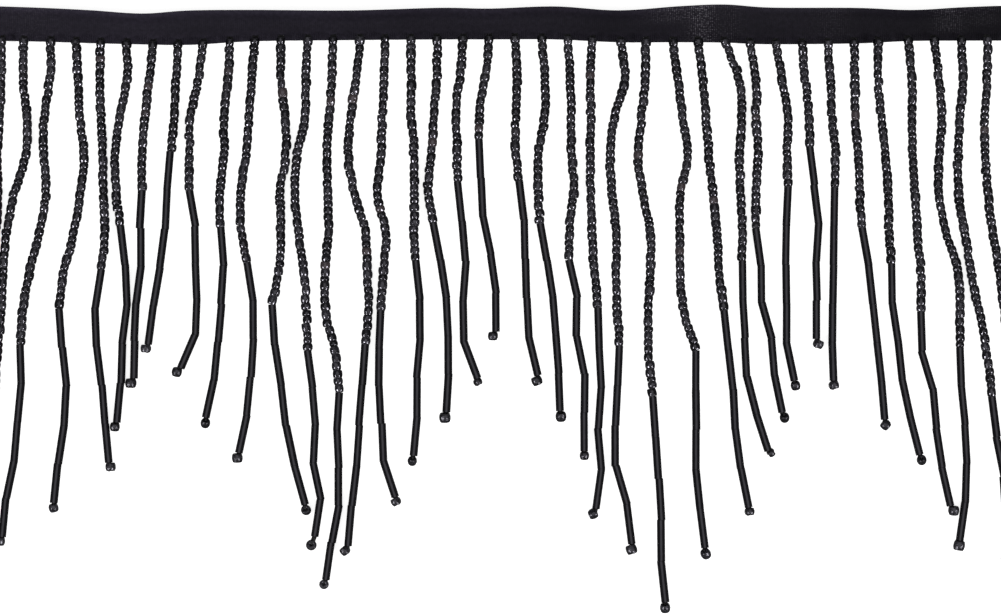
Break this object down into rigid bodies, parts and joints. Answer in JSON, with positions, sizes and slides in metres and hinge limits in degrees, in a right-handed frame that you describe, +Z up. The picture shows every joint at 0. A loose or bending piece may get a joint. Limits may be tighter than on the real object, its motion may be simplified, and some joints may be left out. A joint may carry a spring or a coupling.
{
  "type": "beaded fringe trim",
  "caption": "Length of black beaded fringe trim: a ribbed woven tape with a zigzag fringe of strung seed beads and bugle beads, lying flat.",
  "frame": {"origin": "middle of the footprint, on the surface that the trim lies on", "axes": "+X along the tape, +Y from the ends of the strands towards the tape, +Z up from the surface"},
  "size_m": [0.2774, 0.1578, 0.0039],
  "materials": {
    "tape_cloth": "satin",
    "bead_glass": "gloss"
  },
  "bodies": {
    "root": {"tape": "tape_cloth", "fringe": "bead_glass"}
  },
  "joints": []
}
